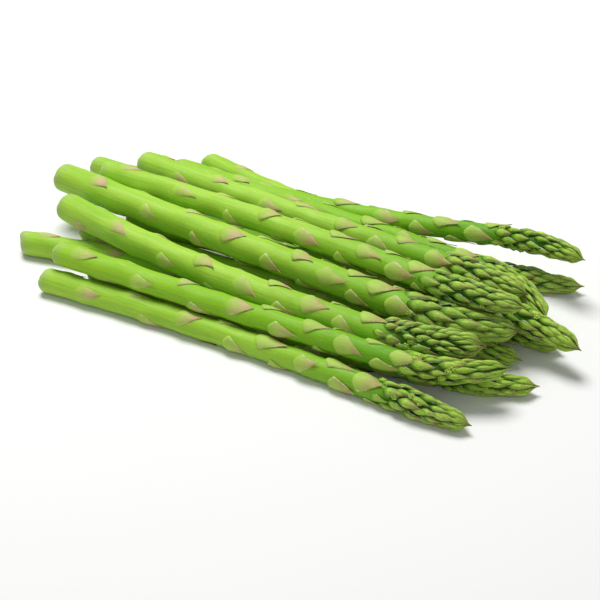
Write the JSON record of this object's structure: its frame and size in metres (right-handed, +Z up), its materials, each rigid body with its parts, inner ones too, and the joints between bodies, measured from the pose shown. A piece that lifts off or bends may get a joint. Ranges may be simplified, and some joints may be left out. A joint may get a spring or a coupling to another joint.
{
  "type": "bundle of asparagus",
  "caption": "Loose bundle of green asparagus spears lying in a low heap, butts one way and scaly pointed heads the other.",
  "frame": {"origin": "under the middle of the heap's bounding box, on the surface it lies on", "axes": "+X along the spears from the cut butts towards the heads, +Y across the heap towards the spears at the back, +Z up"},
  "size_m": [0.2916, 0.1451, 0.0339],
  "materials": {
    "stem_skin": "satin fresh green plant skin with fine lengthwise grain",
    "bract_skin": "dull thin plant scale, pale green with pink and tan margins",
    "head_skin": "dull tight plant scales, olive green with purple tints"
  },
  "bodies": {
    "root": {"spear_01": "stem_skin", "spear_02": "stem_skin", "spear_03": "stem_skin", "spear_04": "stem_skin", "spear_05": "stem_skin", "spear_06": "stem_skin", "spear_07": "stem_skin", "spear_08": "stem_skin", "spear_09": "stem_skin", "spear_10": "stem_skin", "spear_11": "stem_skin", "spear_12": "stem_skin", "spear_13": "stem_skin", "spear_14": "stem_skin", "spear_15": "stem_skin"}
  },
  "joints": []
}
